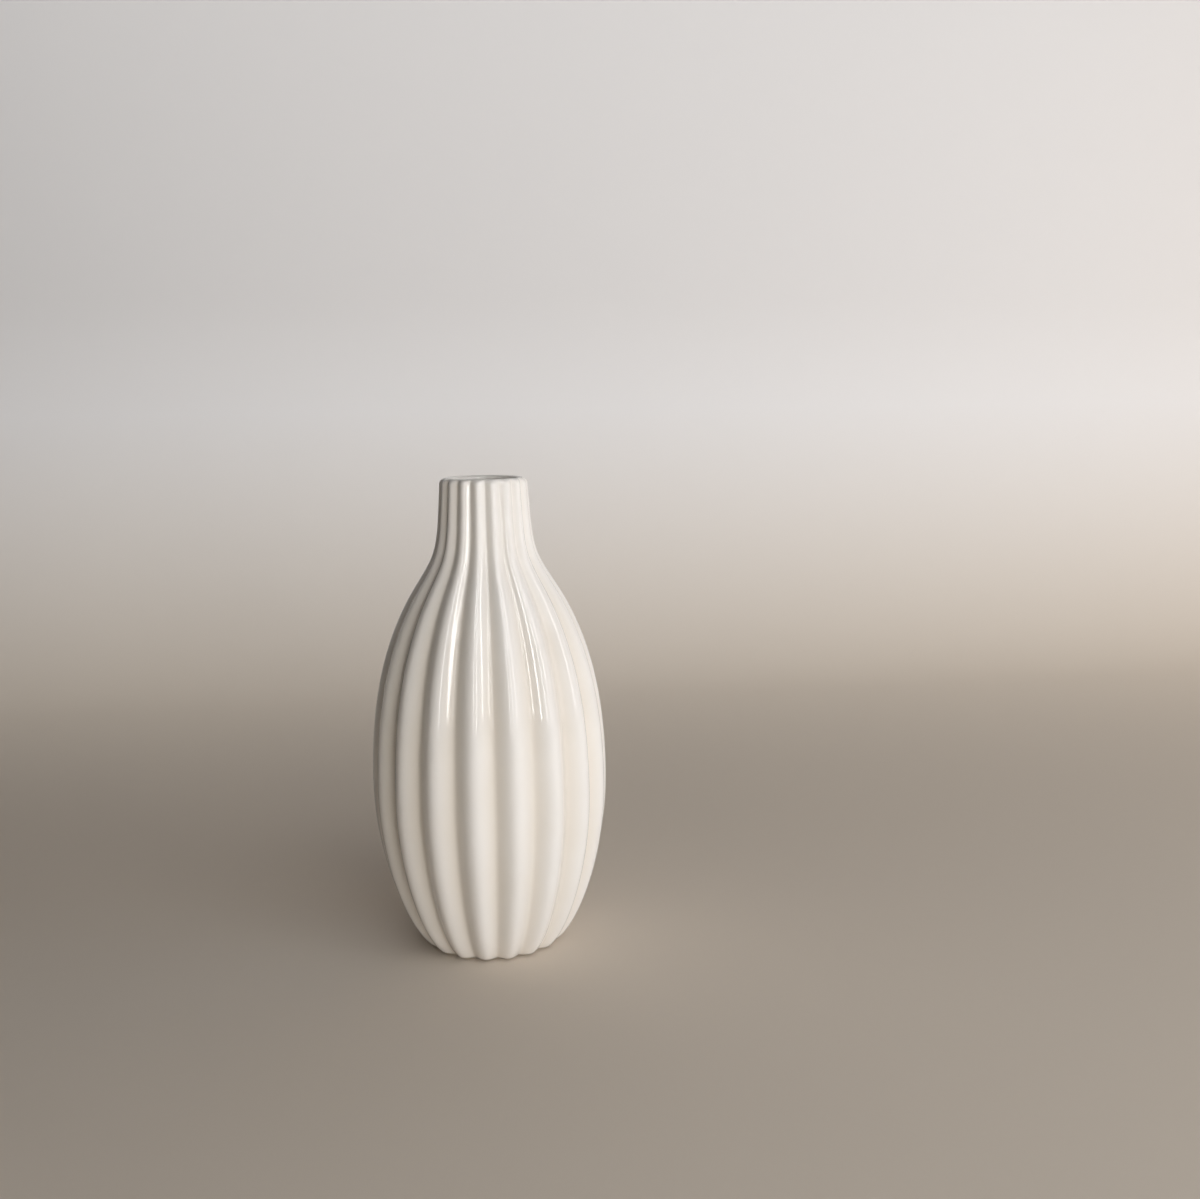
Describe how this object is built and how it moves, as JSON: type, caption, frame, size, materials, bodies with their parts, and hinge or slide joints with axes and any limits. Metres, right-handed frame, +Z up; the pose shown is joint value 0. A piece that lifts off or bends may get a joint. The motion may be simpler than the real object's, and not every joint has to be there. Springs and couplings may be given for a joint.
{
  "type": "bud vase",
  "caption": "Free-standing ribbed ceramic bud vase with a full belly, a narrow neck, a round mouth and a scalloped foot.",
  "frame": {"origin": "centre of the foot, on the surface the vase stands on", "axes": "+Z up along the vase's axis; -Y is the front, where a groove faces; crests lie on the X axis"},
  "size_m": [0.0896, 0.0884, 0.18],
  "materials": {
    "bare_clay": "matte",
    "outer_glaze": "gloss",
    "liner_glaze": "gloss"
  },
  "bodies": {
    "root": {"clay_body": "bare_clay", "outer_glaze": "outer_glaze", "liner_glaze": "liner_glaze"}
  },
  "joints": []
}
